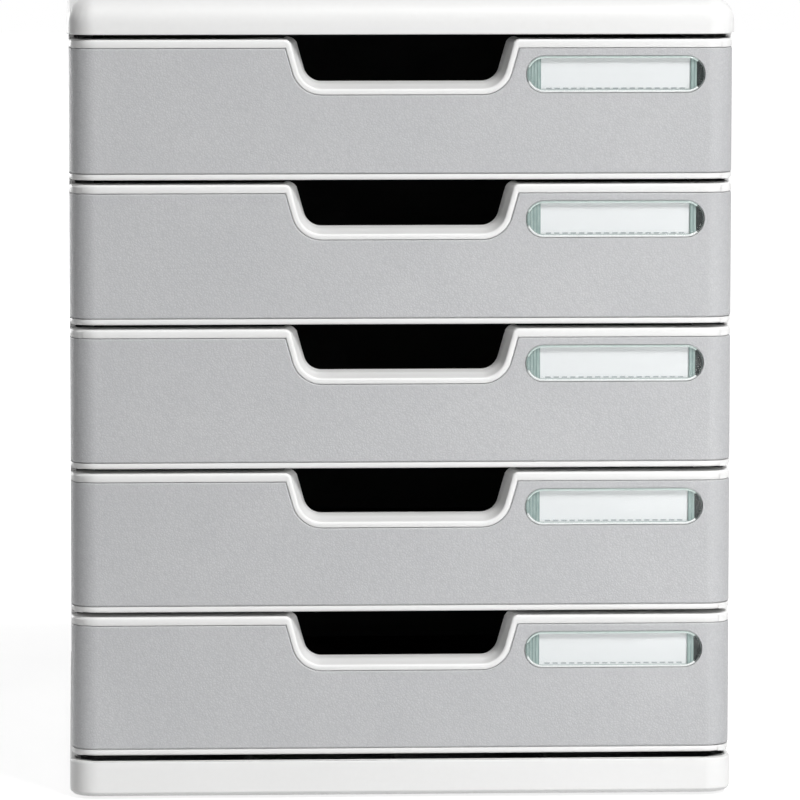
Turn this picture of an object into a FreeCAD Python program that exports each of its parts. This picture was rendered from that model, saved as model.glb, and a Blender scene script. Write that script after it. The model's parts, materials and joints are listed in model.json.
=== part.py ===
import FreeCAD, Part
import math
import os
import re
import Sketcher

# Desktop drawer unit for A4 sheets: a case of lid, base, two sides and back,
# with five drawers. Each drawer is a dark tray behind a moulded front.
# Millimetres, +Z up, front towards -Y, origin under the middle of the unit.

DRAWERS = 5
CASE_CORNER_SIGNS = ((-1, -1), (1, -1), (1, 1), (-1, 1))
# two places that differ by less than this are the same
SAME_PLACE = 1e-4

# Driving dimensions. The sheet holds these, and every size below comes from them.
driving_sizes = {
    # the case
    "unit_width": 288.0,
    "unit_depth": 339.0,
    "base_height": 15.5,
    "lid_height": 16.3,
    "case_wall": 2.4,
    "corner_radius": 12.0,
    "lid_round": 11.5,
    "base_bevel": 1.6,
    "base_lip_bevel": 0.6,
    "lid_inner_rise": 5.5,
    "lid_inner_reach": 5.5,
    "side_inset": 0.8,
    "side_wall": 2.5,
    "back_wall": 2.5,
    "back_wrap": 12.5,
    "tongue_height": 7.0,
    "tongue_thick": 2.0,
    "tongue_setback": 36.0,
    "fit_gap": 0.3,
    "rib_thick": 1.6,
    "rib_spacing": 66.0,
    "rib_setback": 4.0,
    "rib_end_gap": 6.0,
    "gusset_reach": 12.0,
    "gusset_drop": 0.8,
    "floor_rib_height": 6.0,
    "foot_proud": 1.2,
    "foot_size": 15.0,
    "foot_inset": 22.0,
    # spacing of the drawer fronts
    "base_gap": 2.5,
    "front_gap": 2.1,
    # the moulded front shell
    "rim_bottom": 2.4,
    "panel_height": 54.4,
    "rim_top": 3.6,
    "shell_depth": 14.6,
    "collar_depth": 10.7,
    "shell_wall": 2.0,
    "wrap_rim": 2.0,
    "rim_bevel": 1.0,
    # the finger notch, measured on the outer line of its white rim
    "notch_half_width": 50.1,
    "notch_drop": 20.1,
    "notch_flank_share": 0.283,
    "notch_corner": 13.0,
    "notch_rim": 2.6,
    "notch_draft": 2.7,
    "notch_crest": 3.0,
    "notch_plate_step": 1.0,
    # studs that hold the front on the tray
    "stud_side_margin": 33.2,
    "stud_low": 14.0,
    "stud_rise": 30.0,
    "stud_size": 7.0,
    "stud_tip_size": 4.0,
    "stud_tip_proud": 0.8,
    "stud_gap": 0.1,
    # the inlaid panel
    "panel_thick": 1.2,
    "seam_gap": 0.25,
    # the label window and its card
    "window_notch_margin": 3.4,
    "window_side_margin": 12.7,
    "window_below_seam": 11.5,
    "window_height": 15.5,
    "window_proud": 0.4,
    "window_gap": 0.3,
    "window_peg_inset": 3.8,
    "window_peg_size": 2.2,
    "card_end_margin": 6.25,
    "card_height": 13.9,
    "card_thick": 0.3,
    "card_air": 0.1,
    # the tray and its slides
    "tray_wall": 1.8,
    "tray_drop": 6.4,
    "tray_bevel": 1.6,
    "tray_corner": 6.0,
    "tray_back_gap": 1.0,
    "flange_thick": 2.0,
    "flange_side_gap": 3.4,
    "tab_length": 8.0,
    "tab_side_gap": 1.1,
    "stop_side_gap": 0.7,
    "stop_length": 6.0,
    "stop_touch_gap": 0.3,
    "drawer_travel": 230.0,
    "runner_width": 10.2,
    "runner_side_gap": 1.0,
    "runner_thick": 2.0,
    "guide_width": 8.2,
    "guide_thick": 1.6,
    "run_gap": 0.35,
    "front_clearance": 0.5,
    # how far a cut runs past the face that it leaves
    "overrun": 2.0,
}

# Sizes and places that follow from the driving ones. y grows to the back.
derived_sizes = {
    "body_half": "unit_width / 2 - side_inset",
    "side_inner": "body_half - side_wall",
    "case_inner_x": "unit_width / 2 - case_wall",
    "case_inner_y": "unit_depth / 2 - case_wall",
    "body_corner": "corner_radius - side_inset",
    "base_top": "foot_proud + base_height",
    "front_height": "rim_bottom + panel_height + rim_top",
    "first_front": "base_top + base_gap",
    "pitch": "front_height + front_gap",
    "lid_low": f"first_front + {DRAWERS} * pitch",
    "face_y": "side_inset - unit_depth / 2",
    "seat_y": "face_y + panel_thick",
    "wall_back_y": "seat_y + shell_wall",
    "shell_back_y": "face_y + shell_depth",
    "plate_front_y": "face_y + collar_depth",
    "plate_back_y": "plate_front_y + tray_wall",
    "side_front_y": "shell_back_y + front_clearance",
    "back_face_y": "unit_depth / 2 - side_inset",
    "side_back_y": "back_face_y - back_wrap",
    "tray_back_y": "side_back_y - tray_back_gap",
    "core_half": "body_half - panel_thick",
    "shell_inner": "core_half - shell_wall",
    "seam_z": "rim_bottom + panel_height",
    "tray_low": "shell_wall + fit_gap",
    "plate_top": "front_height - shell_wall - fit_gap",
    "tray_top": "front_height - tray_drop",
    "tray_half": "side_inner - runner_width - runner_side_gap",
    "flange_half": "side_inner - flange_side_gap",
    "tab_half": "side_inner - tab_side_gap",
    "stop_half": "flange_half + stop_side_gap",
    "runner_top": "tray_top - flange_thick - run_gap",
    "guide_low": "tray_top + run_gap",
    "stop_back_y": "tray_back_y - tab_length - drawer_travel - stop_touch_gap",
    "stud_x": "body_half - stud_side_margin",
    "window_left": "notch_half_width + window_notch_margin",
    "window_right": "body_half - window_side_margin",
    "window_width": "window_right - window_left",
    "window_x": "(window_left + window_right) / 2",
    "window_z": "seam_z - window_below_seam",
    "card_width": "window_width - 2 * card_end_margin",
    "card_recess": "card_thick + card_air",
    "foot_x": "unit_width / 2 - foot_inset",
    "foot_y": "unit_depth / 2 - foot_inset",
}

doc = FreeCAD.newDocument("DrawerUnit")
sheet = doc.addObject("Spreadsheet::Sheet", "Sizes")
for row, (size_name, number) in enumerate(driving_sizes.items(), start=1):
    sheet.set(f"A{row}", str(number))
    sheet.setAlias(f"A{row}", size_name)
doc.recompute()

nodes = []


def formula(text):
    """Write an expression on the sheet from size names, with derived ones spelled out."""

    def spell(match):
        word = match.group(0)
        if word in derived_sizes:
            return "(" + formula(derived_sizes[word]) + ")"
        return "Sizes." + word if word in driving_sizes else word

    return re.sub(r"[a-z][a-z_]*", spell, str(text))


def number_of(text):
    """The length that a formula gives now."""
    return float(doc.Sizes.evalExpression(formula(text)))


def new_body(node):
    """Start the body of one piece, which names its file."""
    body = doc.addObject("PartDesign::Body", node)
    body.Label = node
    nodes.append(body)
    return body


def new_sketch(body, name, role, level):
    """Sketch on an origin plane of the body, moved along the plane's normal to a level."""
    sketch = body.newObject("Sketcher::SketchObject", name)
    plane = [item for item in body.Origin.OriginFeatures if item.Role == role][0]
    sketch.AttachmentSupport = (plane, [""])
    sketch.MapMode = "FlatFace"
    sketch.setExpression("AttachmentOffset.Base.z", formula(level))
    return sketch


def plan_sketch(body, name, level):
    """Sketch seen from above at height level: its axes are X and Y."""
    return new_sketch(body, name, "XY_Plane", level)


def front_sketch(body, name, y_place):
    """Sketch seen from the front at depth y_place: its axes are X and Z."""
    return new_sketch(body, name, "XZ_Plane", f"-({y_place})")


def bind(sketch, constraint, name, text):
    """Add a constraint and tie its value to the sheet."""
    index = sketch.addConstraint(constraint)
    sketch.renameConstraint(index, name)
    sketch.setExpression(f"Constraints.{name}", formula(text))


def corner_arc(before, corner, after, radius):
    """Tangent points and arc that round a sharp corner between its neighbours."""
    back = (before - corner).normalize()
    ahead = (after - corner).normalize()
    half_turn = back.getAngle(ahead) / 2
    reach = radius / math.tan(half_turn)
    start = corner + back * reach
    end = corner + ahead * reach
    bisector = (back + ahead).normalize()
    centre = corner + bisector * (radius / math.sin(half_turn))
    middle = centre - bisector * radius
    return start, middle, end


def draw_outline(sketch, corners, name="outline"):
    """Draw a closed outline.

    Each corner is (x, y) or (x, y, radius), all given as formulas.
    """
    spots = [FreeCAD.Vector(number_of(c[0]), number_of(c[1]), 0) for c in corners]
    count = len(corners)
    starts = list(spots)
    ends = list(spots)
    middles = [None] * count
    for i, corner in enumerate(corners):
        if len(corner) == 3:
            radius = number_of(corner[2])
            found = corner_arc(spots[i - 1], spots[i], spots[(i + 1) % count], radius)
            starts[i], middles[i], ends[i] = found
    sides = []
    for i in range(count):
        line = Part.LineSegment(ends[i], starts[(i + 1) % count])
        sides.append(sketch.addGeometry(line, False))
    for i, corner in enumerate(corners):
        before, after = sides[i - 1], sides[i]
        if middles[i] is None:
            sketch.addConstraint(Sketcher.Constraint("Coincident", before, 2, after, 1))
            held, point = after, 1
        else:
            arc = Part.Arc(starts[i], middles[i], ends[i])
            bow = sketch.addGeometry(arc, False)
            bow_start = nearer_end(sketch, bow, starts[i])
            bow_end = 3 - bow_start
            sketch.addConstraint(Sketcher.Constraint("Tangent", before, 2, bow, bow_start))
            sketch.addConstraint(Sketcher.Constraint("Tangent", bow, bow_end, after, 1))
            held, point = sketch.addGeometry(Part.Point(spots[i]), True), 1
            sketch.addConstraint(Sketcher.Constraint("PointOnObject", held, 1, before))
            sketch.addConstraint(Sketcher.Constraint("PointOnObject", held, 1, after))
            radius = Sketcher.Constraint("Radius", bow, number_of(corner[2]))
            bind(sketch, radius, f"{name}_r{i}", corner[2])
        place_x = Sketcher.Constraint("DistanceX", held, point, spots[i].x)
        bind(sketch, place_x, f"{name}_x{i}", corner[0])
        place_y = Sketcher.Constraint("DistanceY", held, point, spots[i].y)
        bind(sketch, place_y, f"{name}_y{i}", corner[1])


def nearer_end(sketch, bow, spot):
    """Which end of an arc lies on a spot: 1 for its start, 2 for its end."""
    to_start = sketch.getPoint(bow, 1).distanceToPoint(spot)
    to_end = sketch.getPoint(bow, 2).distanceToPoint(spot)
    return 1 if to_start < to_end else 2


def draw_rectangle(sketch, low_x, high_x, low_y, high_y, name="outline"):
    """Draw a rectangle between four formulas."""
    corners = [(low_x, low_y), (high_x, low_y), (high_x, high_y), (low_x, high_y)]
    draw_outline(sketch, corners, name)


def draw_square(sketch, x, y, size, name):
    """Draw a square about a centre; centre and size are formulas."""
    half = f"({size}) / 2"
    draw_rectangle(
        sketch, f"{x} - {half}", f"{x} + {half}", f"{y} - {half}", f"{y} + {half}", name
    )


def draw_wrap(sketch, half, end_y, open_y, radius):
    """Draw a plan outline whose two corners at end_y are rounded."""
    corners = [
        (half, open_y),
        (half, end_y, radius),
        (f"-({half})", end_y, radius),
        (f"-({half})", open_y),
    ]
    draw_outline(sketch, corners)


def draw_notch(sketch, offset, corner, top):
    """Draw the finger notch, drawn in by offset from the outer line of its rim."""
    inward = f"({offset}) * sqrt(1 + notch_flank_share ^ 2)"
    at_top = f"notch_half_width + ({top} - seam_z) * notch_flank_share - {inward}"
    at_low = f"notch_half_width - (notch_drop - ({offset})) * notch_flank_share - {inward}"
    low = f"seam_z - notch_drop + ({offset})"
    corners = [
        (at_top, top),
        (f"-({at_top})", top),
        (f"-({at_low})", low, corner),
        (at_low, low, corner),
    ]
    draw_outline(sketch, corners)


def draw_mouth(sketch, depth):
    """Draw the notch's opening at a depth: it draws in as it goes back, and its crests lean outwards."""
    offset = f"(notch_rim + ({depth}) * notch_draft / collar_depth)"
    inward = f"{offset} * sqrt(1 + notch_flank_share ^ 2)"
    at_top = f"notch_half_width + rim_top * notch_flank_share - {inward}"
    at_low = f"notch_half_width - (notch_drop - {offset}) * notch_flank_share - {inward}"
    right = [
        (at_low, f"seam_z - notch_drop + {offset}", f"notch_corner - {offset}"),
        (f"{at_top} - notch_crest * notch_flank_share", "front_height - notch_crest"),
        (f"{at_top} + notch_crest", "front_height"),
        (f"{at_top} + notch_crest", "front_height + overrun"),
    ]
    left = [(f"-({corner[0]})", *corner[1:]) for corner in reversed(right)]
    draw_outline(sketch, right + left)


def loft_cut(body, name, sketches):
    """Cut a ruled solid through a row of sketches, and make sure that it cuts."""
    before = body.Shape.Volume
    feature = body.newObject("PartDesign::SubtractiveLoft", name)
    feature.Profile = sketches[0]
    feature.Sections = sketches[1:]
    feature.Ruled = True
    doc.recompute()
    if not body.Shape.Volume < before:
        raise RuntimeError(f"{name} of {body.Label} cuts nothing")
    return feature


def draw_stadium(sketch, width, height, x, z):
    """Draw a slot with fully round ends about a centre."""
    left = FreeCAD.Vector(number_of(f"{x} - ({width}) / 2 + ({height}) / 2"), number_of(z), 0)
    right = FreeCAD.Vector(number_of(f"{x} + ({width}) / 2 - ({height}) / 2"), number_of(z), 0)
    up = FreeCAD.Vector(0, number_of(f"({height}) / 2"), 0)
    out = FreeCAD.Vector(up.y, 0, 0)
    top = sketch.addGeometry(Part.LineSegment(right + up, left + up), False)
    west = sketch.addGeometry(Part.Arc(left + up, left - out, left - up), False)
    low = sketch.addGeometry(Part.LineSegment(left - up, right - up), False)
    east = sketch.addGeometry(Part.Arc(right - up, right + out, right + up), False)
    for first, second, spot in (
        (top, west, left + up),
        (low, west, left - up),
        (low, east, right - up),
        (top, east, right + up),
    ):
        first_end = nearer_end(sketch, first, spot)
        second_end = nearer_end(sketch, second, spot)
        joint = Sketcher.Constraint("Tangent", first, first_end, second, second_end)
        sketch.addConstraint(joint)
    sketch.addConstraint(Sketcher.Constraint("Horizontal", top))
    radius = Sketcher.Constraint("Radius", west, up.y)
    bind(sketch, radius, "end_radius", f"({height}) / 2")
    west_x = Sketcher.Constraint("DistanceX", west, 3, left.x)
    bind(sketch, west_x, "west_x", f"{x} - ({width}) / 2 + ({height}) / 2")
    east_x = Sketcher.Constraint("DistanceX", east, 3, right.x)
    bind(sketch, east_x, "east_x", f"{x} + ({width}) / 2 - ({height}) / 2")
    middle_z = Sketcher.Constraint("DistanceY", west, 3, left.y)
    bind(sketch, middle_z, "middle_z", z)


def pad(body, name, sketch, length, backwards=False, taper=None):
    """Add material along the sketch's normal, or against it."""
    feature = body.newObject("PartDesign::Pad", name)
    feature.Profile = sketch
    feature.Reversed = backwards
    feature.setExpression("Length", formula(length))
    if taper:
        feature.setExpression("TaperAngle", formula(taper))
    doc.recompute()
    return feature


def pocket(body, name, sketch, length, along_normal=False, taper=None):
    """Cut against the sketch's normal, or along it, and make sure that it cuts."""
    before = body.Shape.Volume
    feature = body.newObject("PartDesign::Pocket", name)
    feature.Profile = sketch
    feature.Reversed = along_normal
    feature.setExpression("Length", formula(length))
    if taper:
        feature.setExpression("TaperAngle", formula(taper))
    doc.recompute()
    if not body.Shape.Volume < before:
        raise RuntimeError(f"{name} of {body.Label} cuts nothing")
    return feature


def edges_where(feature, test):
    """Names of the feature's edges whose bounding box passes a test."""
    edges = feature.Shape.Edges
    return [f"Edge{i}" for i, edge in enumerate(edges, 1) if test(edge.BoundBox)]


def dress(body, name, kind, base, edge_names, size):
    """Fillet or chamfer named edges of a feature."""
    if not edge_names:
        raise RuntimeError(f"{name} of {body.Label} finds no edge")
    feature = body.newObject(f"PartDesign::{kind}", name)
    feature.Base = (base, edge_names)
    feature.setExpression("Radius" if kind == "Fillet" else "Size", formula(size))
    doc.recompute()
    return feature


def near(value, target):
    """Whether two places are the same."""
    return math.isclose(value, target, abs_tol=SAME_PLACE)


def upright_edge(box):
    """Whether an edge's box is a vertical line."""
    return near(box.XLength, 0) and near(box.YLength, 0) and not near(box.ZLength, 0)


def level_edge(box, height):
    """Whether an edge's box lies flat at a height."""
    return near(box.ZMin, height) and near(box.ZMax, height)


def repeat_upwards(body, name, features, length, copies):
    """Repeat features up the Z axis over a length."""
    pattern = body.newObject("PartDesign::LinearPattern", name)
    pattern.Originals = features
    axis = [item for item in body.Origin.OriginFeatures if item.Role == "Z_Axis"][0]
    pattern.Direction = (axis, [""])
    pattern.setExpression("Length", formula(length))
    pattern.Occurrences = copies
    body.Tip = pattern
    doc.recompute()
    return pattern


def draw_round_rectangle(sketch, half_x, half_y, radius):
    """Draw a rectangle about the origin with four round corners."""
    corners = []
    for sign_x, sign_y in CASE_CORNER_SIGNS:
        corners.append((f"{sign_x} * ({half_x})", f"{sign_y} * ({half_y})", radius))
    draw_outline(sketch, corners)


def make_slab(body, low, height, closed_level, kind, edge_size):
    """Slab of the case with round corners and its closed side's edge filleted or chamfered."""
    plan = plan_sketch(body, "plan", low)
    draw_round_rectangle(plan, "unit_width / 2", "unit_depth / 2", "corner_radius")
    block = pad(body, "block", plan, height)
    closed = number_of(closed_level)
    outline = edges_where(block, lambda box: level_edge(box, closed))
    return dress(body, "soft_edge", kind, block, outline, edge_size)


def make_lid():
    """Lid: a soft-edged cover with ribs under its top."""
    body = new_body("lid")
    make_slab(body, "lid_low", "lid_height", "lid_low + lid_height", "Fillet", "lid_round")
    mouth = plan_sketch(body, "mouth_plan", "lid_low")
    draw_round_rectangle(mouth, "case_inner_x", "case_inner_y", "corner_radius - case_wall")
    straight = "lid_height - case_wall - lid_inner_rise"
    pocket(body, "hollow", mouth, straight, along_normal=True)
    roof = plan_sketch(body, "roof_plan", f"lid_low + {straight}")
    draw_round_rectangle(roof, "case_inner_x", "case_inner_y", "corner_radius - case_wall")
    slope = "-atan(lid_inner_reach / lid_inner_rise)"
    pocket(body, "roof", roof, "lid_inner_rise", along_normal=True, taper=slope)
    end_y = "unit_depth / 2 - lid_round - rib_end_gap"
    end_x = "unit_width / 2 - lid_round - rib_end_gap"
    rib_length = "lid_height - rib_setback - case_wall / 2"
    ribs = plan_sketch(body, "long_rib_plan", "lid_low + rib_setback")
    for i in (-1, 0, 1):
        middle = f"{i} * rib_spacing"
        draw_rectangle(
            ribs,
            f"{middle} - rib_thick / 2",
            f"{middle} + rib_thick / 2",
            f"-({end_y})",
            end_y,
            f"rib{i + 1}",
        )
    pad(body, "long_ribs", ribs, rib_length)
    cross = plan_sketch(body, "cross_rib_plan", "lid_low + rib_setback")
    for i in (-1, 1):
        middle = f"{i} * rib_spacing"
        draw_rectangle(
            cross,
            f"-({end_x})",
            end_x,
            f"{middle} - rib_thick / 2",
            f"{middle} + rib_thick / 2",
            f"rib{i + 1}",
        )
    pad(body, "cross_ribs", cross, rib_length)


def make_base():
    """Base: an open tub with corner gussets and floor ribs."""
    body = new_body("base")
    make_slab(body, "foot_proud", "base_height", "foot_proud", "Chamfer", "base_bevel")
    mouth = plan_sketch(body, "mouth_plan", "base_top")
    draw_round_rectangle(mouth, "case_inner_x", "case_inner_y", "corner_radius - case_wall")
    shell = pocket(body, "hollow", mouth, "base_height - case_wall")
    top = number_of("base_top")
    lip = edges_where(shell, lambda box: level_edge(box, top))
    outer = [name for name in lip if reaches_outside(shell, name)]
    dress(body, "lip", "Chamfer", shell, outer, "base_lip_bevel")
    gussets = plan_sketch(body, "gusset_plan", "foot_proud + case_wall / 2")
    for i, (sign_x, sign_y) in enumerate(CASE_CORNER_SIGNS):
        strip = "rib_thick * sqrt(2)"
        corners = [
            (f"{sign_x} * (case_inner_x - gusset_reach)", f"{sign_y} * case_inner_y"),
            (f"{sign_x} * (case_inner_x - gusset_reach - {strip})", f"{sign_y} * case_inner_y"),
            (f"{sign_x} * case_inner_x", f"{sign_y} * (case_inner_y - gusset_reach - {strip})"),
            (f"{sign_x} * case_inner_x", f"{sign_y} * (case_inner_y - gusset_reach)"),
        ]
        draw_outline(gussets, corners, f"gusset{i}")
    pad(body, "gussets", gussets, "base_height - case_wall / 2 - gusset_drop")
    ribs = plan_sketch(body, "floor_rib_plan", "foot_proud + case_wall / 2")
    for i in (-1, 0, 1):
        middle = f"{i} * rib_spacing"
        draw_rectangle(
            ribs,
            f"{middle} - rib_thick / 2",
            f"{middle} + rib_thick / 2",
            "-case_inner_y",
            "case_inner_y",
            f"rib{i + 1}",
        )
    pad(body, "floor_ribs", ribs, "floor_rib_height")


def reaches_outside(feature, edge_name):
    """Whether an edge of the case lies on its outer surface."""
    box = feature.Shape.getElement(edge_name).BoundBox
    inside_x = number_of("case_inner_x")
    inside_y = number_of("case_inner_y")
    far_x = max(abs(box.XMin), abs(box.XMax))
    far_y = max(abs(box.YMin), abs(box.YMax))
    return far_x > inside_x + number_of("case_wall") / 2 or far_y > inside_y + number_of("case_wall") / 2


def add_tongues(body, low_x, high_x, low_y, high_y):
    """Tongues that stand in the base and in the lid and locate a wall of the case."""
    plan = plan_sketch(body, "tongue_plan", "base_top - tongue_height")
    draw_rectangle(plan, low_x, high_x, low_y, high_y)
    tongue = pad(body, "tongue", plan, "2 * tongue_height")
    repeat_upwards(body, "tongues", [tongue], "lid_low - base_top", 2)


def make_side(node, sign):
    """Side wall with a runner, a guide rib and a stop for each drawer."""
    body = new_body(node)
    plate = plan_sketch(body, "plate_plan", "base_top")
    draw_rectangle(
        plate, f"{sign} * side_inner", f"{sign} * body_half", "side_front_y", "side_back_y"
    )
    pad(body, "plate", plate, "lid_low - base_top")
    runner = plan_sketch(body, "runner_plan", "first_front + runner_top - runner_thick")
    draw_rectangle(
        runner,
        f"{sign} * (side_inner - runner_width)",
        f"{sign} * side_inner",
        "side_front_y",
        "side_back_y",
    )
    runner_rib = pad(body, "runner", runner, "runner_thick")
    guide = plan_sketch(body, "guide_plan", "first_front + guide_low")
    draw_rectangle(
        guide,
        f"{sign} * (side_inner - guide_width)",
        f"{sign} * side_inner",
        "side_front_y",
        "side_back_y",
    )
    guide_rib = pad(body, "guide", guide, "guide_thick")
    stop = plan_sketch(body, "stop_plan", "first_front + runner_top")
    draw_rectangle(
        stop,
        f"{sign} * stop_half",
        f"{sign} * side_inner",
        "stop_back_y - stop_length",
        "stop_back_y",
    )
    stop_block = pad(body, "stop", stop, "guide_low - runner_top")
    slides = [runner_rib, guide_rib, stop_block]
    repeat_upwards(body, "slides", slides, f"{DRAWERS - 1} * pitch", DRAWERS)
    outer_x = "case_inner_x - fit_gap"
    add_tongues(
        body,
        f"{sign} * ({outer_x} - tongue_thick)",
        f"{sign} * ({outer_x})",
        "side_front_y + tongue_setback",
        "side_back_y - tongue_setback",
    )


def make_back():
    """Back wall that wraps round the two rear corners."""
    body = new_body("back_panel")
    plan = plan_sketch(body, "plan", "base_top")
    draw_wrap(plan, "body_half", "back_face_y", "side_back_y", "body_corner")
    pad(body, "block", plan, "lid_low - base_top")
    inside = plan_sketch(body, "inside_plan", "base_top")
    draw_wrap(
        inside,
        "body_half - back_wall",
        "back_face_y - back_wall",
        "side_back_y - overrun",
        "body_corner - back_wall",
    )
    pocket(body, "inside", inside, "lid_low - base_top", along_normal=True)
    outer_y = "case_inner_y - fit_gap"
    half_x = "body_half - body_corner - tongue_setback"
    add_tongues(body, f"-({half_x})", half_x, f"{outer_y} - tongue_thick", outer_y)


def make_feet():
    """Four square rubber pads stuck under the base."""
    feet = []
    for i, (sign_x, sign_y) in enumerate(CASE_CORNER_SIGNS):
        foot = doc.addObject("Part::Box", f"foot_{i + 1}")
        foot.setExpression("Length", formula("foot_size"))
        foot.setExpression("Width", formula("foot_size"))
        foot.setExpression("Height", formula("foot_proud"))
        foot.setExpression("Placement.Base.x", formula(f"{sign_x} * foot_x - foot_size / 2"))
        foot.setExpression("Placement.Base.y", formula(f"{sign_y} * foot_y - foot_size / 2"))
        feet.append(foot)
    group = doc.addObject("Part::Compound", "feet")
    group.Links = feet
    group.Label = "feet"
    nodes.append(group)


def drawer_level(number):
    """Where a drawer's front starts: drawer 1 is at the top."""
    return f"first_front + {DRAWERS - number} * pitch"


def start_drawer_piece(piece):
    """Start the body of a piece of drawer 1, drawn from the bottom of its front."""
    body = new_body(f"drawer_1_{piece}")
    body.setExpression("Placement.Base.z", formula(drawer_level(1)))
    return body


def repeat_piece(master, number):
    """Clone a piece of drawer 1 at the level of another drawer."""
    body = new_body(master.Label.replace("_1_", f"_{number}_"))
    clone = body.newObject("PartDesign::FeatureBase", "clone")
    clone.BaseFeature = master
    body.Tip = clone
    body.setExpression("Placement.Base.z", formula(drawer_level(number)))


def make_front_shell():
    """White front: rims round a sunk field, a drafted finger notch and studs at the back."""
    body = start_drawer_piece("front_shell")
    field = plan_sketch(body, "field_plan", "0")
    draw_wrap(field, "core_half", "seat_y", "shell_back_y", "body_corner - panel_thick")
    pad(body, "field", field, "front_height")
    for name, low, height in (("low_rim", "0", "rim_bottom"), ("top_rim", "seam_z", "rim_top")):
        rim = plan_sketch(body, f"{name}_plan", low)
        draw_wrap(rim, "body_half", "face_y", "shell_back_y", "body_corner")
        pad(body, name, rim, height)
    wrap = plan_sketch(body, "wrap_rim_plan", "0")
    draw_rectangle(wrap, "-body_half", "body_half", "shell_back_y - wrap_rim", "shell_back_y")
    pad(body, "wrap_rims", wrap, "front_height")
    hollow = plan_sketch(body, "hollow_plan", "shell_wall")
    draw_wrap(
        hollow,
        "shell_inner",
        "wall_back_y",
        "shell_back_y + overrun",
        "body_corner - panel_thick - shell_wall",
    )
    pocket(body, "hollow", hollow, "front_height - 2 * shell_wall", along_normal=True)
    slope = "-atan(notch_draft / collar_depth)"
    collar = front_sketch(body, "collar_outline", "face_y")
    draw_notch(collar, "0", "notch_corner", "front_height")
    pad(body, "collar", collar, "collar_depth", backwards=True, taper=slope)
    near_end = front_sketch(body, "opening_outline", "face_y - overrun")
    draw_mouth(near_end, "-overrun")
    far_end = front_sketch(body, "opening_back_outline", "shell_back_y + overrun")
    draw_mouth(far_end, "shell_depth + overrun")
    loft_cut(body, "opening", [near_end, far_end])
    add_studs(body)
    cut_label_seat(body)
    break_front_edges(body)
    return body


def stud_places():
    """Where the studs stand behind a front: name, x and z."""
    places = []
    for side, sign in (("left", -1), ("right", 1)):
        for step, level in enumerate(("low", "high")):
            places.append((f"{side}_{level}", f"{sign} * stud_x", f"stud_low + {step} * stud_rise"))
    return places


def add_studs(body):
    """Studs with thin tips that pass through the tray's front plate."""
    shanks = front_sketch(body, "stud_outline", "wall_back_y")
    tips = front_sketch(body, "tip_outline", "plate_front_y")
    for name, x, z in stud_places():
        draw_square(shanks, x, z, "stud_size", name)
        draw_square(tips, x, z, "stud_tip_size", name)
    pad(body, "studs", shanks, "plate_front_y - wall_back_y", backwards=True)
    pad(body, "tips", tips, "tray_wall + stud_tip_proud", backwards=True)


def window_peg_places():
    """Where the window's two pegs stand: name and x."""
    reach = "(window_width / 2 - window_peg_inset)"
    return [("left", f"window_x - {reach}"), ("right", f"window_x + {reach}")]


def cut_label_seat(body):
    """Shallow seat for the card and two holes for the window's pegs."""
    seat = front_sketch(body, "card_seat_outline", "seat_y")
    half_x = "(card_width / 2 + fit_gap)"
    half_z = "(card_height / 2 + fit_gap)"
    draw_rectangle(
        seat,
        f"window_x - {half_x}",
        f"window_x + {half_x}",
        f"window_z - {half_z}",
        f"window_z + {half_z}",
    )
    pocket(body, "card_seat", seat, "card_recess")
    holes = front_sketch(body, "peg_hole_outline", "seat_y")
    for name, x in window_peg_places():
        draw_square(holes, x, "window_z", "window_peg_size + 2 * stud_gap", name)
    pocket(body, "peg_holes", holes, "shell_wall + overrun")


def break_front_edges(body):
    """Break the edges of the top rim and of the notch's mouth."""
    face = number_of("face_y")
    back = number_of("shell_back_y")
    top = number_of("front_height")
    half = number_of("body_half")
    holed = body.Tip

    def outer_rim(box):
        """Whether an edge runs round the outside of the front at its top."""
        if not level_edge(box, top) or near(box.YMin, back):
            return False
        on_side = near(max(abs(box.XMin), abs(box.XMax)), half)
        return on_side or near(box.YMax, face)

    seam = number_of("seam_z")
    crest = number_of("notch_crest")
    mouth_low = number_of("seam_z - notch_drop + notch_rim")
    spread = number_of("notch_rim * sqrt(1 + notch_flank_share ^ 2)")

    def notch_mouth(box):
        """Whether an edge bounds the notch's opening on the front face."""
        if not (near(box.YMin, face) and near(box.YMax, face)):
            return False
        middle = box.Center
        line = number_of(f"notch_half_width + ({middle.z} - seam_z) * notch_flank_share") - spread
        reach = spread / 2 if middle.z < seam else crest
        return box.ZMin > mouth_low - SAME_PLACE and abs(middle.x) < line + reach

    rims = edges_where(holed, lambda box: outer_rim(box) or notch_mouth(box))
    dress(body, "rim_edges", "Chamfer", holed, rims, "rim_bevel")


def make_front_panel():
    """Grey panel inlaid in the front and wrapped round both corners."""
    body = start_drawer_piece("front_panel")
    plan = plan_sketch(body, "plan", "rim_bottom + seam_gap")
    end_y = "shell_back_y - wrap_rim - seam_gap"
    draw_wrap(plan, "body_half", "face_y", end_y, "body_corner")
    pad(body, "block", plan, "panel_height - 2 * seam_gap")
    inside = plan_sketch(body, "inside_plan", "rim_bottom")
    draw_wrap(inside, "core_half", "seat_y", f"{end_y} + overrun", "body_corner - panel_thick")
    pocket(body, "inside", inside, "panel_height", along_normal=True)
    notch = front_sketch(body, "notch_outline", "face_y")
    draw_notch(notch, "-seam_gap", "notch_corner + seam_gap", "front_height")
    pocket(body, "notch", notch, "panel_thick + overrun")
    window = front_sketch(body, "window_outline", "face_y")
    gap = "2 * window_gap"
    draw_stadium(window, f"window_width + {gap}", f"window_height + {gap}", "window_x", "window_z")
    pocket(body, "window", window, "panel_thick + overrun")
    return body


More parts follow.
